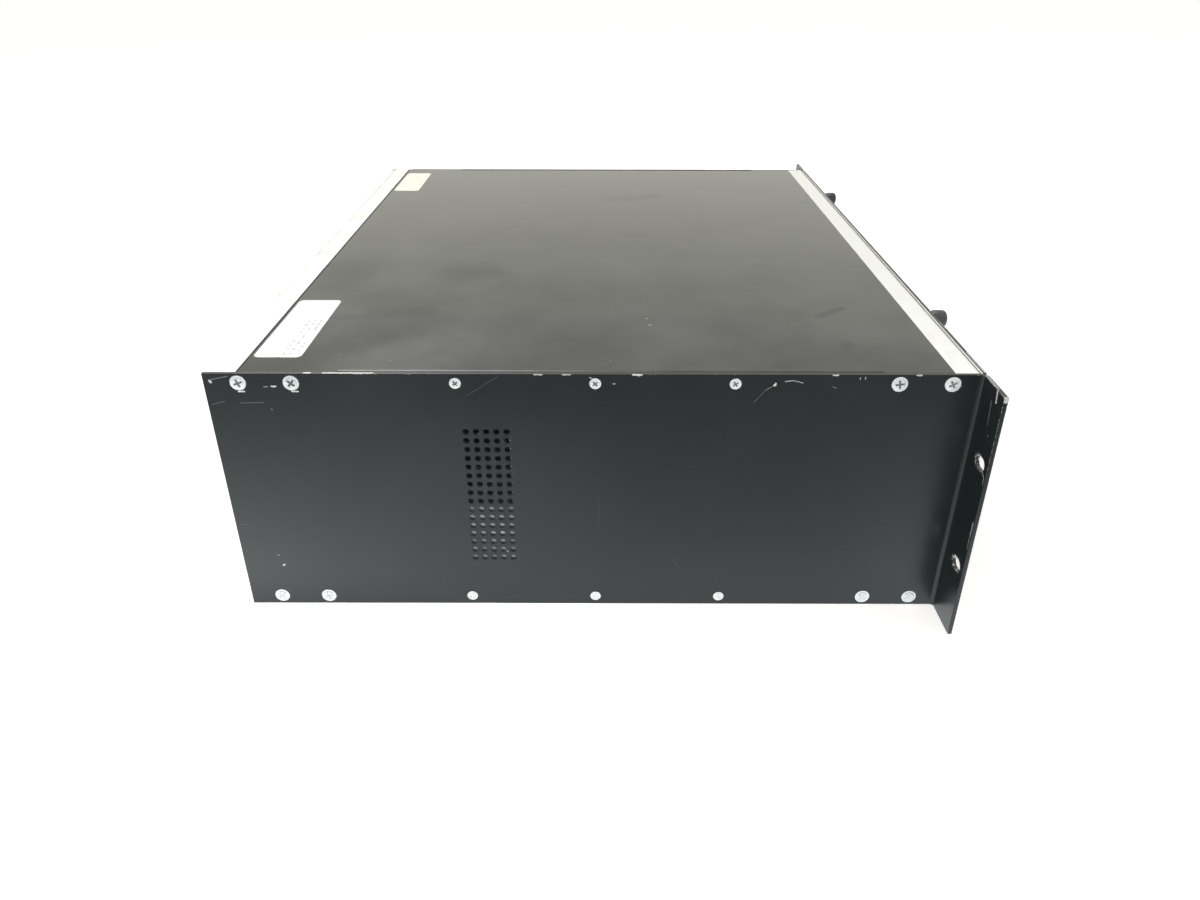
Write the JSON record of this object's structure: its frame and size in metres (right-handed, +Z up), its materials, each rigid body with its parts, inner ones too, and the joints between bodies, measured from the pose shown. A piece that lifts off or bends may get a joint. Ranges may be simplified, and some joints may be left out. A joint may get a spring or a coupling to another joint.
{
  "type": "card frame",
  "caption": "Closed rack-mounting card frame: black folded side plates with slotted ears, extruded rails, covers, a front door on thumbscrews, card guides and a backplane.",
  "frame": {"origin": "on the base, in the middle of the bottom cover's outer face: half-way across the frame and half-way between the ears' front face and the side plates' rear edges", "axes": "+X to the right as seen from the front, +Y from the front door to the rear, +Z up"},
  "size_m": [0.4826, 0.3792, 0.1327],
  "materials": {
    "black_paint": "satin black paint on folded sheet, chipped and scratched at the edges",
    "rail_aluminium": "clear anodised extrusion",
    "rear_aluminium": "brushed sheet",
    "bare_sheet": "zinc plated sheet",
    "zinc_screws": "bright zinc plate",
    "knob_plastic": "moulded, knurled",
    "retainer_nylon": "natural nylon",
    "guide_plastic": "moulded nylon",
    "connector_plastic": "moulded glass-filled polyester",
    "board_green": "solder mask on glass epoxy laminate",
    "socket_plastic": "moulded thermoplastic",
    "brass": "nickel on brass",
    "core_steel": "varnished laminations",
    "heatsink_black": "black anodised",
    "capacitor_sleeve": "shrink sleeve",
    "label_paper": "coated paper"
  },
  "bodies": {
    "root": {"left_side_plate": "black_paint", "right_side_plate": "black_paint", "front_upper_rail": "rail_aluminium", "front_lower_rail": "rail_aluminium", "rear_upper_rail": "rail_aluminium", "rear_lower_rail": "rail_aluminium", "top_cover": "black_paint", "bottom_cover": "black_paint", "left_rail_screws": "zinc_screws", "right_rail_screws": "zinc_screws", "left_cover_screws": "zinc_screws", "right_cover_screws": "zinc_screws", "front_door": "black_paint", "door_hooks": "bare_sheet", "thumbscrew_knobs": "knob_plastic", "thumbscrew_shanks": "zinc_screws", "thumbscrew_retainers": "retainer_nylon", "bay_divider": "black_paint", "divider_screws": "zinc_screws", "lower_card_guides": "guide_plastic", "upper_card_guides": "guide_plastic", "backplane_board": "board_green", "backplane_connectors": "connector_plastic", "lower_clamp_bar": "rail_aluminium", "upper_clamp_bar": "rail_aluminium", "backplane_screws": "zinc_screws", "rear_slot_plates": "rear_aluminium", "rear_plate_screws": "zinc_screws", "rear_supply_panel": "rear_aluminium", "supply_panel_screws": "zinc_screws", "inlet_socket": "socket_plastic", "inlet_pins": "brass", "fuse_holder": "socket_plastic", "fuse_cap": "socket_plastic", "ground_stud": "brass", "ground_nuts": "brass", "supply_tray": "bare_sheet", "supply_chassis": "bare_sheet", "supply_lid": "bare_sheet", "supply_standoffs": "brass", "supply_board": "board_green", "supply_transformer": "core_steel", "supply_heatsink": "heatsink_black", "supply_capacitors": "capacitor_sleeve", "supply_terminals": "socket_plastic", "supply_screws": "zinc_screws", "rating_label": "label_paper", "asset_label": "label_paper"}
  },
  "joints": []
}
